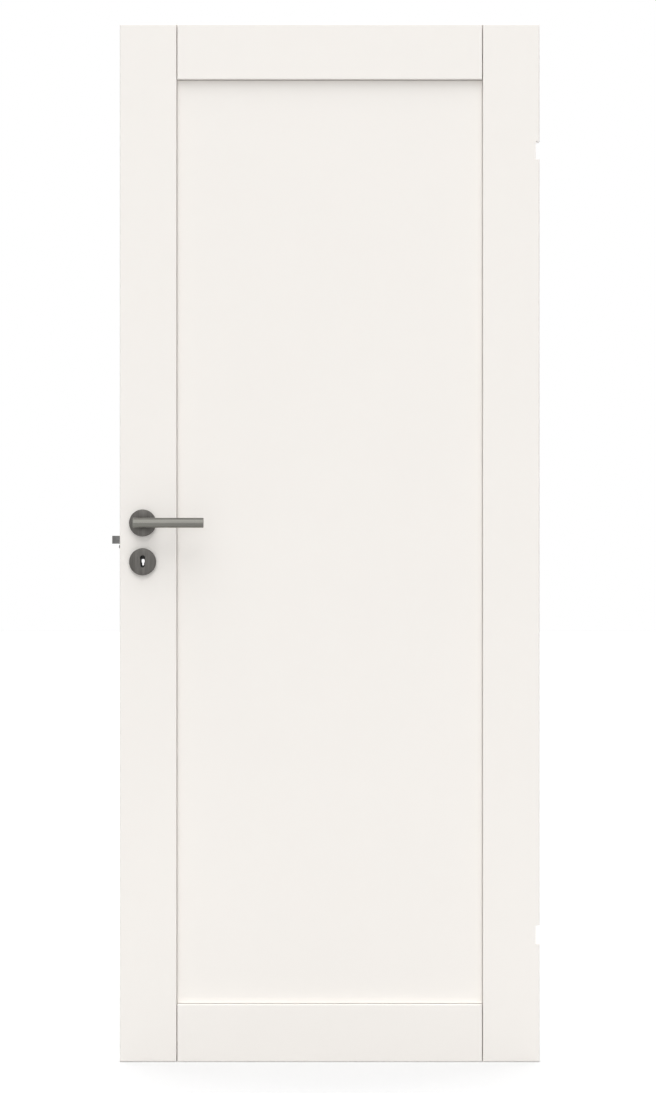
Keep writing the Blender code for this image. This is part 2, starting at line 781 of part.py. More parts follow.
def build_lock():
    """The lock, whose two bolts slide along X through the forend."""
    lock = empty("lock_edge", (LOCK_EDGE_X, 0.0, HANDLE_Z))
    forend(lock)
    lock_case(lock)
    latch_bolt(lock)
    dead_bolt(lock)


def build_handles():
    """Levers, roses and escutcheons, alike on both faces, and the spindle on the lever axis."""
    lever_axis = empty("lever_axis", (HANDLE_X, 0.0, HANDLE_Z))
    key_axis = empty("key_axis", (HANDLE_X, 0.0, ESCUTCHEON_Z))
    follower(lever_axis)
    spindle(lever_axis)
    for side, turn in (("front", 0.0), ("back", math.pi)):
        lever(side + "_lever", lever_axis, turn)
        rose(side + "_rose", lever_axis, turn)
        rose_base(side + "_rose_base", lever_axis, turn)
        escutcheon(side + "_escutcheon", key_axis, turn)
        escutcheon_base(side + "_escutcheon_base", key_axis, turn)


clear_objects()
build_frame()
build_lock()
build_handles()
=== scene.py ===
# %% [markdown]
# # An interior door leaf, dressed for its picture
# The leaf comes as a fixed CAD model: a painted frame of two stiles and two rails round one
# recessed panel, a mortise lock, two bolts, and a bar lever, a rose and an escutcheon on each face.
# This lesson gives it its paint, its brushed metal, its small screws and its light. All lengths
# are in metres. +X runs to the hinge edge, the front face looks to -Y, and +Z is up.

# %% Load the model
import json
import math

import bmesh
import bpy
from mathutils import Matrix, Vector


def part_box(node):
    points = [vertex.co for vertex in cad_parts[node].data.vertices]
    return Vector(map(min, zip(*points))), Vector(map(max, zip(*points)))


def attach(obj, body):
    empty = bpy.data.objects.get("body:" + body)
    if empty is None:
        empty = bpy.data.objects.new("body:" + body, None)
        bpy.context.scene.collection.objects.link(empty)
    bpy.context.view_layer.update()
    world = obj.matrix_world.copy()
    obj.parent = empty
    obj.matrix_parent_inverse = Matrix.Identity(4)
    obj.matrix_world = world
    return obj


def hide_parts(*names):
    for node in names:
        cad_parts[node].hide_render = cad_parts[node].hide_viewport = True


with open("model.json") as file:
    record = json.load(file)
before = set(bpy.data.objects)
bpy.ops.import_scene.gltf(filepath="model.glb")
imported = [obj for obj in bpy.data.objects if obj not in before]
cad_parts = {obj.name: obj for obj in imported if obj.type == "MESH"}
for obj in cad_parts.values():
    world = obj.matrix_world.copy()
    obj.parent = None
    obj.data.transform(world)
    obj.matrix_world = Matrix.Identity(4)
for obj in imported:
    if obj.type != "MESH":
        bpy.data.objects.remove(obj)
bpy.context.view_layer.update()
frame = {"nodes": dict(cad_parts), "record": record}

# %% [markdown]
# ## Measures
# A dressed piece has to sit exactly where the solid sits that it stands for. Its place could be
# typed in again, but a change to the model would then leave it behind. So the few places that
# matter, such as the lever's axis and the faces of the leaf, are read from the model's own boxes.

# %% Read the places from the model
MM = 0.001

leaf_low, leaf_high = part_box("lock_stile")
hinge_edge_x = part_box("hinge_stile")[1].x
rose_low, rose_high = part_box("front_rose")
lever_low, lever_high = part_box("front_lever")
forend_low, forend_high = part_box("lock_forend")


def axis_of(node):
    """Where the axis of a round node on a face meets the middle plane of the leaf."""
    low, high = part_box(node)
    return Vector(((low.x + high.x) / 2, 0.0, (low.z + high.z) / 2))


FACE_Y = leaf_high.y
LOCK_EDGE_X = leaf_low.x
LEVER_AXIS = axis_of("front_rose")
KEY_AXIS = axis_of("front_escutcheon")
leaf_width = hinge_edge_x - LOCK_EDGE_X
leaf_height = leaf_high.z - leaf_low.z
print("Leaf %.1f by %.1f mm" % (leaf_width / MM, leaf_height / MM))
print("Lever axis %.1f mm above its lower edge" % ((LEVER_AXIS.z - leaf_low.z) / MM))

# %% [markdown]
# ## The camera
# A catalogue picture of a door is taken straight on with a long lens, so that the edges stay
# upright and parallel. An orthographic camera would keep them so too, but it would hide the sides
# of the recess. From eight metres they still show as hairlines, and through both keyholes one sees
# the background a little off centre, as in the picture this follows.

# %% Set up the camera
IMAGE_WIDTH = 656
IMAGE_HEIGHT = 1093
LEAF_LEFT_PIXEL = 119.8
LEAF_TOP_PIXEL = 24.0
LEAF_BOTTOM_PIXEL = 1062.0
CAMERA_DISTANCE = 8.0
SENSOR_HEIGHT = 24.0

metres_per_pixel = leaf_height / (LEAF_BOTTOM_PIXEL - LEAF_TOP_PIXEL)
view_height = IMAGE_HEIGHT * metres_per_pixel
camera_data = bpy.data.cameras.new("camera")
camera_data.sensor_fit = "VERTICAL"
camera_data.sensor_height = SENSOR_HEIGHT
camera_data.lens = SENSOR_HEIGHT * CAMERA_DISTANCE / view_height
camera = bpy.data.objects.new("camera", camera_data)
camera.location = (
    LOCK_EDGE_X + (IMAGE_WIDTH / 2 - LEAF_LEFT_PIXEL) * metres_per_pixel,
    -FACE_Y - CAMERA_DISTANCE,
    leaf_high.z - (IMAGE_HEIGHT / 2 - LEAF_TOP_PIXEL) * metres_per_pixel,
)
camera.rotation_euler = (math.pi / 2, 0.0, 0.0)
bpy.context.scene.collection.objects.link(camera)
bpy.context.scene.camera = camera
print("Camera lens %.1f mm, view %.3f m high" % (camera_data.lens, view_height))

# %% [markdown]
# ## Lamps
# White goods are lit softly. Lamps close by would light a tall leaf unevenly, so the soft boxes are
# suns with a wide disc, which shine from far away. One high above each face makes the shadow under
# the top rail, and it stands so high that the lever's own shadow spreads out and almost fades. A
# long low lamp evens out the foot of the leaf. The metal alone sees a broad white sheet, hung from
# the camera's height up to the ceiling. It brightens the upper half of the bar and the rose above
# the bar, and less so the rose below, where the bar hides a part of it.

# %% Helpers for lamps
def add_lamp(name, kind, strength):
    """A lamp that neither the camera nor the metal sees as a shape."""
    made = bpy.data.objects.new(name, bpy.data.lights.new(name, kind))
    made.data.energy = strength
    made.visible_camera = False
    made.visible_glossy = False
    bpy.context.scene.collection.objects.link(made)
    return made


def soft_box(name, strength, disc, elevation, azimuth):
    """A wide far lamp, with its angles in degrees.

    Azimuth 0 shines from the camera's side, and 90 from the hinge side.
    """
    made = add_lamp(name, "SUN", strength)
    made.data.angle = math.radians(disc)
    made.rotation_euler = (math.radians(90 - elevation), 0.0, math.radians(azimuth))
    return made


# %% Set up the soft boxes and the sheets
FRONT_AZIMUTH = 0
BACK_AZIMUTH = 180
BOX_STRENGTH = 1.25
BOX_DISC = 50
BOX_ELEVATION = 60
KEY_BOX_TURN = -6
SHEET_STRENGTH = 1.2
SHEET_DISC = 80
SHEET_ELEVATION = 42

soft_box("key box", BOX_STRENGTH, BOX_DISC, BOX_ELEVATION, FRONT_AZIMUTH + KEY_BOX_TURN)
soft_box("back box", BOX_STRENGTH, BOX_DISC, BOX_ELEVATION, BACK_AZIMUTH)
for azimuth, word in ((FRONT_AZIMUTH, "front"), (BACK_AZIMUTH, "back")):
    sheet = soft_box(word + " sheet", SHEET_STRENGTH, SHEET_DISC, SHEET_ELEVATION, azimuth)
    sheet.visible_glossy = True
    sheet.visible_diffuse = False
print("Far lamps:", len(bpy.data.lights))

# %% Set up the low lamp
FOOT_LAMP_POWER = 0.42
FOOT_LAMP_LENGTH = 1.6
FOOT_LAMP_HEIGHT = 0.1
FOOT_LAMP_DISTANCE = 0.7

foot_lamp = add_lamp("foot lamp", "AREA", FOOT_LAMP_POWER)
foot_lamp.data.shape = "RECTANGLE"
foot_lamp.data.size = FOOT_LAMP_LENGTH
foot_lamp.data.size_y = FOOT_LAMP_HEIGHT
foot_lamp.location = (
    LOCK_EDGE_X + leaf_width / 2,
    -FACE_Y - FOOT_LAMP_DISTANCE,
    leaf_low.z + FOOT_LAMP_HEIGHT,
)
foot_lamp.rotation_euler = (math.pi / 2, 0.0, 0.0)
print("Foot lamp %.1f m long, %.1f m from the leaf" % (FOOT_LAMP_LENGTH, FOOT_LAMP_DISTANCE))

# %% [markdown]
# ## Colours and nodes
# Colours are easiest to compare with a picture as sRGB hex values, but the renderer adds up
# light in linear values, so one function turns the one into the other. The nodes of a finish
# could be put together by hand in the editor. Here one function adds each of them and fills
# its inputs with plain values or with the outputs of other nodes, so that a finish reads
# from top to bottom.

# %% Helpers for colours and nodes
def linear(hex_colour):
    """Turn an sRGB hex value such as F3EFEA into linear red, green, blue and alpha.

    The plain numbers are those of the sRGB standard.
    """
    channels = []
    for start in (0, 2, 4):
        value = int(hex_colour[start:start + 2], 16) / 255
        channels.append(value / 12.92 if value <= 0.04045 else ((value + 0.055) / 1.055) ** 2.4)
    return (*channels, 1.0)


def add_node(tree, kind, inputs=None, **settings):
    """Add a node with its own settings, and give its inputs a value or another node's output."""
    node = tree.nodes.new(kind)
    for name, value in settings.items():
        setattr(node, name, value)
    for name, value in (inputs or {}).items():
        if isinstance(value, bpy.types.NodeSocket):
            tree.links.new(value, node.inputs[name])
        else:
            node.inputs[name].default_value = value
    return node


def reckon(tree, operation, *values):
    """The output of a Math node that works on plain values or on other nodes' outputs."""
    node = add_node(tree, "ShaderNodeMath", dict(enumerate(values)), operation=operation)
    return node.outputs[0]


WHITE = linear("FFFFFF")
print("Middle grey, 808080, is %.3f in linear light." % linear("808080")[0])

# %% [markdown]
# ## The white room
# Most of the light comes from the room itself, a white one that is a little brighter towards its
# ceiling. It could be built from walls, but a world shader gives the same light with less noise.
# Black flags stand at both sides, as in a real studio, so that less light falls on the rounded
# edges of the leaf and they stay visible against the white. To the camera, and in the metal, the
# room is plain white.

# %% Helpers for what the camera sees
def empty_tree(owner):
    """Turn on the nodes of a world or a material, and clear those that it starts with."""
    owner.use_nodes = True
    owner.node_tree.nodes.clear()
    return owner.node_tree


def seen_directly(tree):
    """1 for what the camera sees, by itself, in the metal or through a gap, and else 0."""
    path = add_node(tree, "ShaderNodeLightPath")
    seen = path.outputs["Is Camera Ray"]
    for kind in ("Is Glossy Ray", "Is Transmission Ray"):
        seen = reckon(tree, "MAXIMUM", seen, path.outputs[kind])
    return seen


# %% Light the room
AMBIENT = 1.045
CEILING_LIFT = 0.3
FLAG_LIGHT = 0.05
FLAG_STARTS = 0.38
FLAG_FULL = 0.9

world = bpy.data.worlds.new("white studio")
bpy.context.scene.world = world
world_tree = empty_tree(world)
direction = add_node(world_tree, "ShaderNodeTexCoord").outputs["Generated"]
heading = add_node(world_tree, "ShaderNodeSeparateXYZ", {0: direction}).outputs
height_light = reckon(
    world_tree, "MULTIPLY_ADD", heading["Z"], AMBIENT * CEILING_LIFT, AMBIENT)
past_flags = add_node(world_tree, "ShaderNodeMapRange", {
    "Value": reckon(world_tree, "ABSOLUTE", heading["X"]),
    "From Min": FLAG_STARTS,
    "From Max": FLAG_FULL,
    "To Min": 1.0,
    "To Max": FLAG_LIGHT,
}, interpolation_type="SMOOTHSTEP")
room = add_node(world_tree, "ShaderNodeBackground", {
    "Color": WHITE,
    "Strength": reckon(world_tree, "MULTIPLY", height_light, past_flags.outputs[0]),
})
plain_white = add_node(world_tree, "ShaderNodeBackground", {"Color": WHITE, "Strength": 1.0})
mixed = add_node(world_tree, "ShaderNodeMixShader", {
    0: seen_directly(world_tree),
    1: room.outputs[0],
    2: plain_white.outputs[0],
})
add_node(world_tree, "ShaderNodeOutputWorld", {"Surface": mixed.outputs[0]})
bpy.context.scene.view_settings.view_transform = "Standard"
print("Room light %.2f at the horizon" % AMBIENT)
print("Room light %.2f at the ceiling" % (AMBIENT * (1 + CEILING_LIFT)))

# %% [markdown]
# ## The floor
# The leaf stands on a plain pale floor. A floor as white as the room would throw too much light up
# the leaf, so this one is light grey. It takes the leaf's shadow as any matt floor does, and a
# little light of its own lifts its open part to the white of the room. Only the camera and the
# reflections see that light, so it doesn't fall on the leaf.

# %% Lay the floor
FLOOR_HALF = 40.0
FLOOR_GAP = 0.3 * MM

floor_mesh = bpy.data.meshes.new("floor")
bm = bmesh.new()
bmesh.ops.create_grid(bm, x_segments=1, y_segments=1, size=FLOOR_HALF)
bmesh.ops.translate(bm, verts=bm.verts, vec=(0.0, 0.0, leaf_low.z - FLOOR_GAP))
bm.to_mesh(floor_mesh)
bm.free()
floor = bpy.data.objects.new("floor", floor_mesh)
bpy.context.scene.collection.objects.link(floor)
print("Floor %.1f mm under the leaf" % (FLOOR_GAP / MM))

# %% Make the floor's surface
FLOOR_COLOUR = "A8A8A8"
FLOOR_GLOW = 0.45

floor_material = bpy.data.materials.new("matt_pale_floor")
floor_tree = empty_tree(floor_material)
matt = add_node(floor_tree, "ShaderNodeBsdfDiffuse", {"Color": linear(FLOOR_COLOUR)})
glow = add_node(floor_tree, "ShaderNodeEmission", {
    "Color": WHITE,
    "Strength": reckon(floor_tree, "MULTIPLY", seen_directly(floor_tree), FLOOR_GLOW),
})
lit = add_node(floor_tree, "ShaderNodeAddShader", {0: matt.outputs[0], 1: glow.outputs[0]})
add_node(floor_tree, "ShaderNodeOutputMaterial", {"Surface": lit.outputs[0]})
floor_mesh.materials.append(floor_material)
print("Floor reflects %.2f of the light" % linear(FLOOR_COLOUR)[0])

# %% [markdown]
# ## Paint
# The leaf is fibreboard and pine, primed, sanded and sprayed with satin white lacquer. Spraying
# gives an even warm white with a soft sheen and no brush marks. Close up it has a faint orange
# peel, about two millimetres from bump to bump, and the film is never quite the same thickness, so
# the tone and the sheen drift slightly over a hand's span. A photographed texture would show where
# it repeats, so all of it comes from noise in object coordinates.

# %% A helper for new materials
def new_material(name, roughness, metallic=0.0):
    """A material with a Principled shader, returned with its tree and its object coordinates."""
    material = bpy.data.materials.new(name)
    material.use_nodes = True
    tree = material.node_tree
    shader = tree.nodes["Principled BSDF"]
    shader.inputs["Roughness"].default_value = roughness
    shader.inputs["Metallic"].default_value = metallic
    return material, tree, add_node(tree, "ShaderNodeTexCoord").outputs["Object"]


# %% Helpers for patterns and what follows them
# The colour Mix node has hidden sockets for its other kinds of data, so its own go by number.
MIX_A = 6
MIX_B = 7
MIX_RESULT = 2


def noise(tree, place, pitch, detail=2.0):
    """Smooth noise that swings about once in each pitch."""
    made = add_node(tree, "ShaderNodeTexNoise", {
        "Vector": place,
        "Scale": 1 / pitch,
        "Detail": detail,
    })
    return made.outputs["Fac"]


def colour_between(tree, factor, dark, light):
    """A colour that goes from one hex value to the other as the factor goes from 0 to 1."""
    mix = add_node(tree, "ShaderNodeMix", {
        "Factor": factor,
        MIX_A: linear(dark),
        MIX_B: linear(light),
    }, data_type="RGBA")
    return mix.outputs[MIX_RESULT]


def number_between(tree, factor, first, last):
    """A number that goes from the first to the last as the factor goes from 0 to 1."""
    spread = add_node(tree, "ShaderNodeMapRange", {
        "Value": factor,
        "To Min": first,
        "To Max": last,
    })
    return spread.outputs[0]


# %% A helper that dresses a shader
def dress(tree, colour, roughness, height, depth):
    """Link a colour, a roughness and the bumps of a height pattern to the tree's shader."""
    bump = add_node(tree, "ShaderNodeBump", {
        "Height": height,
        "Strength": 1.0,
        "Distance": depth,
    })
    shader = tree.nodes["Principled BSDF"]
    tree.links.new(colour, shader.inputs["Base Color"])
    tree.links.new(roughness, shader.inputs["Roughness"])
    tree.links.new(bump.outputs[0], shader.inputs["Normal"])


# %% Make the paint
PAINT_DARK = "F2EEE9"
PAINT_LIGHT = "F4F0EB"
SATIN_ROUGHNESS = 0.4
SATIN_SHINIEST = 0.38
SATIN_DULLEST = 0.46
PEEL_PITCH = 2.2 * MM
PEEL_HEIGHT = 0.012 * MM
DRIFT_PITCH = 0.25

paint, paint_tree, paint_place = new_material("sprayed_satin_lacquer", SATIN_ROUGHNESS)
drift = noise(paint_tree, paint_place, DRIFT_PITCH)
dress(
    paint_tree,
    colour=colour_between(paint_tree, drift, PAINT_DARK, PAINT_LIGHT),
    roughness=number_between(paint_tree, drift, SATIN_SHINIEST, SATIN_DULLEST),
    height=noise(paint_tree, paint_place, PEEL_PITCH),
    depth=PEEL_HEIGHT,
)
print("Made the paint, with", len(paint_tree.nodes), "nodes")

# %% [markdown]
# ## Brushed steel
# The lever is stainless steel, brushed along the bar with a fine belt. The belt leaves long shallow
# scratches, so the bar shows soft streaks lengthwise and its highlight spreads across them. The
# shader's anisotropic setting would spread the highlight but draw no streaks. Noise that is
# stretched along one axis does both: the other two axes get the scratch's pitch. The real
# scratches are a tenth of a millimetre apart, too fine for a picture, so a coarser set carries the
# look, and a set eight times as broad adds the bands that a belt leaves where it is worn. The
# roses and escutcheons are the same steel, stained darker and brushed upright.

# %% A function for brushed metal
STREAK_DETAIL = 3.0
BAND_BREADTH = 8.0
# The two noises are added, and their sum is mostly between these two.
DARKEST_SUM = 0.7
LIGHTEST_SUM = 1.3
METAL_SHEEN_SPREAD = 0.05


def brushed_metal(name, dark, light, roughness, along, pitch, length, depth):
    """Metal brushed along one axis (0, 1 or 2), with its streaks pitch apart and length long."""
    material, tree, place = new_material(name, roughness, metallic=1.0)
    stretch = [1 / pitch] * 3
    stretch[along] = 1 / length
    stretched = add_node(tree, "ShaderNodeMapping", {"Vector": place, "Scale": stretch}).outputs[0]
    streaks = noise(tree, stretched, 1.0, STREAK_DETAIL)
    bands = noise(tree, stretched, BAND_BREADTH)
    tone = add_node(tree, "ShaderNodeMapRange", {
        "Value": reckon(tree, "ADD", streaks, bands),
        "From Min": DARKEST_SUM,
        "From Max": LIGHTEST_SUM,
    }).outputs[0]
    dress(
        tree,
        colour=colour_between(tree, tone, dark, light),
        roughness=number_between(
            tree, tone, roughness + METAL_SHEEN_SPREAD, roughness - METAL_SHEEN_SPREAD),
        height=streaks,
        depth=depth,
    )
    return material


# %% Make the brushed metals
ALONG_X = 0
ALONG_Z = 2

lever_steel = brushed_metal(
    "stainless_steel_brushed_along_the_bar",
    dark="706F6B", light="82817B", roughness=0.30,
    along=ALONG_X, pitch=0.4 * MM, length=60 * MM, depth=0.006 * MM,
)
rose_steel = brushed_metal(
    "stained_steel_brushed_upright",
    dark="4D4B48", light="696764", roughness=0.38,
    along=ALONG_Z, pitch=0.9 * MM, length=40 * MM, depth=0.005 * MM,
)
forend_steel = brushed_metal(
    "stainless_steel_brushed_upright",
    dark="8F8F8C", light="A6A6A3", roughness=0.32,
    along=ALONG_Z, pitch=0.4 * MM, length=50 * MM, depth=0.006 * MM,
)
bolt_steel = brushed_metal(
    "zinc_plated_steel_satin",
    dark="636362", light="797978", roughness=0.40,
    along=ALONG_X, pitch=0.6 * MM, length=8 * MM, depth=0.006 * MM,
)
for metal in (lever_steel, rose_steel, forend_steel, bolt_steel):
    print("Made", metal.name)

# %% [markdown]
# ## Inside the leaf
# The lock case is sheet steel dipped in black paint: a little gloss, uneven where the paint
# ran. The bases under the covers are moulded black nylon, dull and finely grained. Both are
# hardly seen, but the dark rim of the keyhole is theirs. Plain black would do from afar, but
# it would look empty close up, so one function gives both a grain, coarse or fine.

# %% Make the case paint and the nylon
GRAIN_SHEEN_SPREAD = 0.08


def grained(name, dark, light, roughness, pitch, depth):
    """A dull surface with an even grain."""
    material, tree, place = new_material(name, roughness)
    grain = noise(tree, place, pitch)
    dress(
        tree,
        colour=colour_between(tree, grain, dark, light),
        roughness=number_between(
            tree, grain, roughness - GRAIN_SHEEN_SPREAD, roughness + GRAIN_SHEEN_SPREAD),
        height=grain,
        depth=depth,
    )
    return material


case_paint = grained(
    "steel_dipped_in_black_paint",
    dark="101010", light="1A1A1A", roughness=0.45, pitch=4 * MM, depth=0.01 * MM,
)
base_nylon = grained(
    "moulded_black_nylon",
    dark="1B1B1B", light="242424", roughness=0.60, pitch=0.6 * MM, depth=0.02 * MM,
)
print("Made", case_paint.name, "and", base_nylon.name)

# %% [markdown]
# ## Finishes for the model's own nodes
# The boards, the lock and the bases keep the model's own shapes. The record names a material slot
# for each node, so a table from slot to finish is enough, and no node is named one by one.

# %% Give the model's nodes their finishes
SLOT_MATERIALS = {
    "painted_wood": paint,
    "lever_steel": lever_steel,
    "rose_steel": rose_steel,
    "forend_steel": forend_steel,
    "bolt_steel": bolt_steel,
    "case_paint": case_paint,
    "base_nylon": base_nylon,
}
for subpart in frame["record"]["subparts"]:
    for slot in frame["nodes"][subpart["node"]].material_slots:
        slot.material = SLOT_MATERIALS[subpart["material_slot"]]

# %% [markdown]
# ## Loops of points
# The covers and the bar are round, and the solid model draws them with few facets. For a picture
# they are made again with many more. The Screw modifier could turn them from a section, but
# not the escutcheons, because a keyhole isn't round. So each is a stack of closed loops with
# the same number of points, and faces join each loop to the next. Only the places of the
# points differ.

# %% Helpers for meshes
SHARP_DEGREES = 30.0


def finish_mesh(name, bm, material):
    """Make the faces point outwards, shade them smooth up to sharp edges, and add the object."""
    bmesh.ops.recalc_face_normals(bm, faces=bm.faces)
    mesh = bpy.data.meshes.new(name)
    bm.to_mesh(mesh)
    bm.free()
    mesh.materials.append(material)
    mesh.shade_smooth()
    mesh.set_sharp_from_angle(angle=math.radians(SHARP_DEGREES))
    made = bpy.data.objects.new(name, mesh)
    bpy.context.scene.collection.objects.link(made)
    return made


def skin(name, loops, material, closed=False):
    """Join equal loops of points with faces.

    A closed skin joins its last loop to its first. An open one gets a face at each end.
    """
    bm = bmesh.new()
    rings = [[bm.verts.new(point) for point in loop] for loop in loops]
    pairs = list(zip(rings, rings[1:]))
    if closed:
        pairs.append((rings[-1], rings[0]))
    else:
        bm.faces.new(rings[0])
        bm.faces.new(rings[-1])
    for ring, following in pairs:
        for index in range(len(ring)):
            after = (index + 1) % len(ring)
            bm.faces.new((ring[index], ring[after], following[after], following[index]))
    return finish_mesh(name, bm, material)


def applied(piece):
    """Turn a piece with modifiers into a plain mesh that keeps its name and its sharp edges."""
    evaluated = piece.evaluated_get(bpy.context.evaluated_depsgraph_get())
    mesh = bpy.data.meshes.new_from_object(evaluated)
    piece.modifiers.clear()
    piece.data = mesh
    return piece


# %% Helpers for arcs and circles
ROUND_STEPS = 6
COVER_STEPS = 160


def rounded(centre, radius, start, end):
    """Points of an arc in a section, with its angles in degrees."""
    points = []
    for step in range(ROUND_STEPS + 1):
        angle = math.radians(start + (end - start) * step / ROUND_STEPS)
        points.append((centre[0] + radius * math.cos(angle), centre[1] + radius * math.sin(angle)))
    return points


def full_turn(steps):
    """The angles of equal steps all the way round, in radians."""
    return [2 * math.pi * step / steps for step in range(steps)]


def circle_loop(radius, height, steps=COVER_STEPS):
    """A loop round the axis at one height above the face."""
    return [(radius * math.cos(turn), radius * math.sin(turn), height) for turn in full_turn(steps)]


def circle_loops(section):
    """Loops for a section that is given as distances from the axis and heights above the face."""
    return [circle_loop(radius, height) for radius, height in section]


# %% A helper for both faces of the leaf
# Each face of the leaf has a side, which is the sign of its Y, and a word.
FACES = ((-1, "front"), (1, "back"))


def on_face(loops, axis, side):
    """Place loops of (right, up, height) points on the face of that side, round an axis."""
    return [
        [(axis.x + right, side * (FACE_Y + height), axis.z + up) for right, up, height in loop]
        for loop in loops
    ]


# %% [markdown]
# ## Roses
# A rose is a cap of thin sheet that snaps over its base: a rim that stands on the door, a rounded
# edge, a flat face, and a bore for the collar round the lever's neck. It could be a disc with a
# Bevel and a Solidify modifier, but its wall and its edge would then be hard to fit to the model.
# Its section is drawn once instead, as distances from the axis and heights above the door, and
# turned round the axis. The escutcheons share its rim and its inner wall.

# %% Draw the section of a cover
COVER_WALL = 1.2 * MM
COVER_ROUND = 1.5 * MM
LIP_ROUND = 0.3 * MM
BASE_GAP = 0.3 * MM

cover_radius = (rose_high.x - rose_low.x) / 2
cover_height = -FACE_Y - rose_low.y
inner_radius = cover_radius - COVER_WALL
inner_height = cover_height - COVER_WALL

rim = rounded((cover_radius - COVER_ROUND, cover_height - COVER_ROUND), COVER_ROUND, 0, 90)
rim.insert(0, (cover_radius, BASE_GAP))
inner_wall = [(inner_radius, inner_height), (inner_radius, BASE_GAP)]

# The lip of a hole is drawn as distances from the edge of the hole.
lip = rounded((LIP_ROUND, cover_height - LIP_ROUND), LIP_ROUND, 90, 180)
lip.append((0.0, inner_height))
print("Covers %.1f mm across and %.1f mm high" % (2 * cover_radius / MM, cover_height / MM))

# %% Make the roses
BORE_RADIUS = 9.8 * MM

bore_lip = [(BORE_RADIUS + margin, height) for margin, height in lip]
rose_loops = circle_loops(rim + bore_lip + inner_wall)
for side, word in FACES:
    loops = on_face(rose_loops, LEVER_AXIS, side)
    cover = skin(word + "_rose_cover", loops, rose_steel, closed=True)
    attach(cover, "leaf")
    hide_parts(word + "_rose")
print("Rose cover:", len(cover.data.polygons), "faces")

# %% [markdown]
# ## Escutcheons
# An escutcheon is the same cap, but with a keyhole through its face: a round head for the key's
# shank above a slot for its bit. A Boolean modifier could cut it, but would leave no lip.
# Seen from the centre, the outline of the hole has one distance in each direction, so the loops can
# run from the hole's outline to the round rim, direction by direction, and the stamped lip of the
# hole gets its slight round.

# %% Draw the keyhole
KEYHOLE_HEAD_RADIUS = 5.0 * MM
KEYHOLE_SLOT_RADIUS = 4.15 * MM
KEYHOLE_HEIGHT = 23.6 * MM
KEYHOLE_RISE = 0.8 * MM


def keyhole_reach(turn):
    """Distance from the middle of the keyhole to its outline in one direction."""
    right = abs(math.cos(turn))
    up = math.sin(turn)
    head_z = KEYHOLE_HEIGHT / 2 - KEYHOLE_HEAD_RADIUS
    foot_z = KEYHOLE_SLOT_RADIUS - KEYHOLE_HEIGHT / 2
    reaches = []
    if foot_z * right <= KEYHOLE_SLOT_RADIUS * up <= head_z * right:
        reaches.append(KEYHOLE_SLOT_RADIUS / right)
    for centre, radius in ((head_z, KEYHOLE_HEAD_RADIUS), (foot_z, KEYHOLE_SLOT_RADIUS)):
        root = radius ** 2 - (centre * right) ** 2
        if root >= 0.0:
            reaches.append(centre * up + math.sqrt(root))
    return max(reaches)


def keyhole_loop(margin, height):
    """A loop along the keyhole, a margin outside its outline, at one height above the face."""
    loop = []
    for turn in full_turn(COVER_STEPS):
        reach = keyhole_reach(turn) + margin
        loop.append((reach * math.cos(turn), KEYHOLE_RISE + reach * math.sin(turn), height))
    return loop


print("Keyhole %.1f mm high" % (KEYHOLE_HEIGHT / MM))

# %% Make the escutcheons
keyhole_lip = [keyhole_loop(margin, height) for margin, height in lip]
escutcheon_loops = circle_loops(rim) + keyhole_lip + circle_loops(inner_wall)
for side, word in FACES:
    loops = on_face(escutcheon_loops, KEY_AXIS, side)
    cover = skin(word + "_escutcheon_cover", loops, rose_steel, closed=True)
    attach(cover, "leaf")
    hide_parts(word + "_escutcheon")
print("Escutcheon cover:", len(cover.data.polygons), "faces")

# %% [markdown]
# ## Levers
# A lever is a round bar, closed at both ends, welded across the end of a round neck. The neck has a
# square socket for the spindle and, on its underside, a small threaded hole for the screw that
# holds it. Bar and neck are stacks of loops again. The line where two round bars meet is hard to
# draw point by point, so Boolean modifiers weld them, as a welder would, and cut the holes.

# %% Draw the bar and the neck
BAR_STEPS = 96
BAR_END_ROUND = 1.0 * MM
NECK_RADIUS = 8.0 * MM
NECK_FOOT = 1.0 * MM

bar_radius = (lever_high.z - lever_low.z) / 2
bar_height = -FACE_Y - lever_low.y - bar_radius
bar_left = lever_low.x - LEVER_AXIS.x
bar_right = lever_high.x - LEVER_AXIS.x


def bar_loop(along, radius):
    """A loop round the bar at one place along it."""
    return [
        (along, radius * math.sin(turn), bar_height + radius * math.cos(turn))
        for turn in full_turn(BAR_STEPS)
    ]


end_radius = bar_radius - BAR_END_ROUND
left_end = rounded((bar_left + BAR_END_ROUND, end_radius), BAR_END_ROUND, 180, 90)
right_end = rounded((bar_right - BAR_END_ROUND, end_radius), BAR_END_ROUND, 90, 0)
bar_loops = [bar_loop(along, radius) for along, radius in left_end + right_end]
neck_loops = [circle_loop(NECK_RADIUS, height, BAR_STEPS) for height in (NECK_FOOT, bar_height)]
print("Bar %.1f mm long, %.1f mm thick" % ((bar_right - bar_left) / MM, 2 * bar_radius / MM))

# %% Draw the holes in the neck
SOCKET_SIDE = 8.6 * MM
SOCKET_DEPTH = 31.0 * MM
GRUB_STEPS = 32
GRUB_RADIUS = 2.5 * MM
GRUB_FROM_FACE = 21.0 * MM
GRUB_CHAMFER = 0.3 * MM
# How far the cutting shape stands out of the neck, so that it cuts the rim cleanly.
GRUB_OVERCUT = 1.0 * MM


def square_loop(side, height):
    """A square loop round the axis at one height above the face."""
    half = side / 2
    corners = ((-half, -half), (half, -half), (half, half), (-half, half))
    return [(right, up, height) for right, up in corners]


def grub_loop(up, radius):
    """A loop round the grub screw's axis, which runs up to the lever's axis from below."""
    return [
        (radius * math.cos(turn), up, GRUB_FROM_FACE + radius * math.sin(turn))
        for turn in full_turn(GRUB_STEPS)
    ]


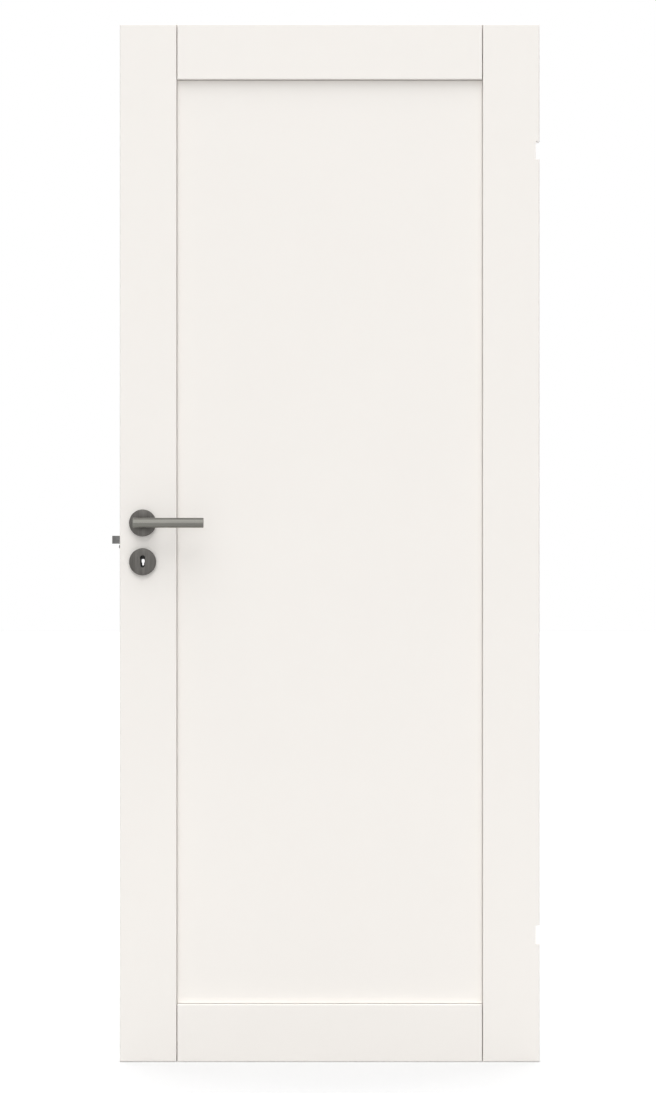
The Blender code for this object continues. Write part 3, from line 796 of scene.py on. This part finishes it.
socket_loops = [
    square_loop(SOCKET_SIDE, -NECK_FOOT),
    square_loop(SOCKET_SIDE, NECK_FOOT + SOCKET_DEPTH),
]
grub_hole_loops = [
    grub_loop(-NECK_RADIUS - GRUB_OVERCUT, GRUB_RADIUS + GRUB_CHAMFER + GRUB_OVERCUT),
    grub_loop(-NECK_RADIUS + GRUB_CHAMFER, GRUB_RADIUS),
    grub_loop(0.0, GRUB_RADIUS),
]
print("Socket %.1f mm square, grub hole %.1f mm wide" % (SOCKET_SIDE / MM, 2 * GRUB_RADIUS / MM))


# %% Make the levers
def boolean(piece, operation, other):
    """Weld another piece to this one, or cut it away, and leave only this one."""
    modifier = piece.modifiers.new(operation, "BOOLEAN")
    modifier.operation = operation
    modifier.solver = "EXACT"
    modifier.object = other
    applied(piece)
    bpy.data.objects.remove(other)


for side, word in FACES:
    bar, neck, socket, grub_hole = [
        skin(name, on_face(loops, LEVER_AXIS, side), lever_steel)
        for name, loops in (
            (word + "_bar_lever", bar_loops),
            ("neck", neck_loops),
            ("socket", socket_loops),
            ("grub hole", grub_hole_loops),
        )
    ]
    boolean(bar, "UNION", neck)
    boolean(bar, "DIFFERENCE", socket)
    boolean(bar, "DIFFERENCE", grub_hole)
    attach(bar, "handles")
    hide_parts(word + "_lever")
print("Lever:", len(bar.data.polygons), "faces")

# %% [markdown]
# ## Forend screws
# Two countersunk screws with a crossed recess hold the forend. They could be drawn once and copied
# by hand, but a geometry nodes tree keeps the screw and its places together: a line of points, one
# screw drawn from a cone and a rod with two crossed slots cut out of it, and an instance at each
# point. Sizes come in as named inputs, so the same tree suits other locks.

# %% A helper for new geometry nodes trees
def new_tree(name, lengths):
    """A tree for screws in a line, with an input for each named length, and its inputs."""
    tree = bpy.data.node_groups.new(name, "GeometryNodeTree")
    tree.interface.new_socket("Geometry", in_out="OUTPUT", socket_type="NodeSocketGeometry")
    kinds = {
        "Place": "NodeSocketVector",
        "Spacing": "NodeSocketVector",
        "Count": "NodeSocketInt",
        "Finish": "NodeSocketMaterial",
    }
    for length in lengths:
        kinds[length] = "NodeSocketFloat"
    for label, kind in kinds.items():
        tree.interface.new_socket(label, in_out="INPUT", socket_type=kind)
    return tree, add_node(tree, "NodeGroupInput").outputs


# %% Helpers for the shapes in a tree
def rod(tree, sides, radius, length):
    """An upright rod with its middle in the origin."""
    made = add_node(tree, "GeometryNodeMeshCylinder", {
        "Vertices": sides,
        "Radius": radius,
        "Depth": length,
    })
    return made.outputs["Mesh"]


def lifted(tree, shape, rise):
    """A shape moved up by a length that the tree works out."""
    shift = add_node(tree, "ShaderNodeCombineXYZ", {"Z": rise})
    moved = add_node(tree, "GeometryNodeTransform", {
        "Geometry": shape,
        "Translation": shift.outputs[0],
    })
    return moved.outputs[0]


def turned(tree, shape, rotation):
    """A shape turned about the origin by angles in radians."""
    moved = add_node(tree, "GeometryNodeTransform", {"Geometry": shape, "Rotation": rotation})
    return moved.outputs[0]


def cut(tree, shape, *cutters):
    """A shape with others cut away from it."""
    made = add_node(
        tree, "GeometryNodeMeshBoolean", {"Mesh 1": shape}, operation="DIFFERENCE", solver="EXACT")
    for cutter in cutters:
        tree.links.new(cutter, made.inputs["Mesh 2"])
    return made.outputs[0]


# %% Helpers that end a tree and grow a piece from it
def in_line(tree, sizes, shape):
    """Set the shape at each point of a line, make the copies real and give them their finish."""
    line = add_node(tree, "GeometryNodeMeshLine", {
        "Count": sizes["Count"],
        "Start Location": sizes["Place"],
        "Offset": sizes["Spacing"],
    })
    copies = add_node(tree, "GeometryNodeInstanceOnPoints", {
        "Points": line.outputs[0],
        "Instance": shape,
    })
    real = add_node(tree, "GeometryNodeRealizeInstances", {"Geometry": copies.outputs[0]})
    coated = add_node(tree, "GeometryNodeSetMaterial", {
        "Geometry": real.outputs[0],
        "Material": sizes["Finish"],
    })
    add_node(tree, "NodeGroupOutput", {"Geometry": coated.outputs[0]})


def grown_piece(name, tree, values, body):
    """Run a tree on an empty mesh with the given values, and keep the result as a plain mesh."""
    piece = bpy.data.objects.new(name, bpy.data.meshes.new(name))
    bpy.context.scene.collection.objects.link(piece)
    modifier = piece.modifiers.new(tree.name, "NODES")
    modifier.node_group = tree
    for item in tree.interface.items_tree:
        if item.in_out == "INPUT":
            modifier[item.identifier] = values[item.name]
    applied(piece)
    piece.data.name = name
    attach(piece, body)
    return piece


# %% Draw the countersunk screw
SCREW_STEPS = 48

screw_tree, sizes = new_tree("countersunk screws", (
    "Head radius",
    "Shank radius",
    "Length",
    "Cross width",
    "Cross span",
    "Cross depth",
))
head_depth = reckon(screw_tree, "SUBTRACT", sizes["Head radius"], sizes["Shank radius"])
head_drop = reckon(screw_tree, "SUBTRACT", 0.0, head_depth)
shank_drop = reckon(screw_tree, "MULTIPLY_ADD", sizes["Length"], -0.5, head_drop)
cone = add_node(screw_tree, "GeometryNodeMeshCone", {
    "Vertices": SCREW_STEPS,
    "Radius Top": sizes["Head radius"],
    "Radius Bottom": sizes["Shank radius"],
    "Depth": head_depth,
})
head = lifted(screw_tree, cone.outputs["Mesh"], head_drop)
straight = rod(screw_tree, SCREW_STEPS, sizes["Shank radius"], sizes["Length"])
shank = lifted(screw_tree, straight, shank_drop)
arm_size = add_node(screw_tree, "ShaderNodeCombineXYZ", {
    "X": sizes["Cross span"],
    "Y": sizes["Cross width"],
    "Z": reckon(screw_tree, "MULTIPLY", sizes["Cross depth"], 2.0),
})
arm = add_node(screw_tree, "GeometryNodeMeshCube", {"Size": arm_size.outputs[0]}).outputs["Mesh"]
other_arm = turned(screw_tree, arm, (0.0, 0.0, math.pi / 2))
screw = add_node(screw_tree, "GeometryNodeJoinGeometry")
screw_tree.links.new(shank, screw.inputs[0])
screw_tree.links.new(cut(screw_tree, head, other_arm, arm), screw.inputs[0])
in_line(screw_tree, sizes, turned(screw_tree, screw.outputs[0], (0.0, -math.pi / 2, 0.0)))
print("Screw tree:", len(screw_tree.nodes), "nodes")

# %% Place the forend screws
SCREW_INSET = 10.0 * MM
SCREW_HEAD_SINK = 0.15 * MM

lowest_screw = Vector((LOCK_EDGE_X + SCREW_HEAD_SINK, 0.0, forend_low.z + SCREW_INSET))
screw_spacing = Vector((0.0, 0.0, forend_high.z - forend_low.z - 2 * SCREW_INSET))
forend_screws = grown_piece("forend_screws", screw_tree, {
    "Place": lowest_screw,
    "Spacing": screw_spacing,
    "Count": 2,
    "Head radius": 4.0 * MM,
    "Shank radius": 1.9 * MM,
    "Length": 18.0 * MM,
    "Cross width": 0.9 * MM,
    "Cross span": 4.6 * MM,
    "Cross depth": 1.6 * MM,
    "Finish": bolt_steel,
}, "leaf")
print("Forend screws:", len(forend_screws.data.polygons), "faces")

# %% [markdown]
# ## Grub screws
# A small headless screw in the underside of each neck holds the lever on its spindle. It is a short
# rod with a hexagon socket in its end. Only their ends show, so a disc with a dark spot could stand
# for each, but it would look flat from below. Both are instances on a line of two points again,
# one for each lever, and they turn with the levers.

# %% Draw the grub screw
HEXAGON = 6

grub_tree, sizes = new_tree("grub screws", (
    "Radius",
    "Length",
    "Socket radius",
    "Socket depth",
))
half_length = reckon(grub_tree, "MULTIPLY", sizes["Length"], 0.5)
whole_rod = rod(grub_tree, GRUB_STEPS, sizes["Radius"], sizes["Length"])
double_depth = reckon(grub_tree, "MULTIPLY", sizes["Socket depth"], 2.0)
hexagon = rod(grub_tree, HEXAGON, sizes["Socket radius"], double_depth)
in_line(grub_tree, sizes, cut(grub_tree, lifted(grub_tree, whole_rod, half_length), hexagon))
print("Grub screw tree:", len(grub_tree.nodes), "nodes")

# %% Place the grub screws
GRUB_CLEARANCE = 0.1 * MM
GRUB_SINK = 0.6 * MM

grub_y = FACE_Y + GRUB_FROM_FACE
grub_z = LEVER_AXIS.z - NECK_RADIUS + GRUB_SINK
grub_screws = grown_piece("lever_grub_screws", grub_tree, {
    "Place": Vector((LEVER_AXIS.x, -grub_y, grub_z)),
    "Spacing": Vector((0.0, 2 * grub_y, 0.0)),
    "Count": len(FACES),
    "Radius": GRUB_RADIUS - GRUB_CLEARANCE,
    "Length": 3.0 * MM,
    "Socket radius": 1.45 * MM,
    "Socket depth": 1.6 * MM,
    "Finish": bolt_steel,
}, "handles")
print("Grub screws:", len(grub_screws.data.polygons), "faces")
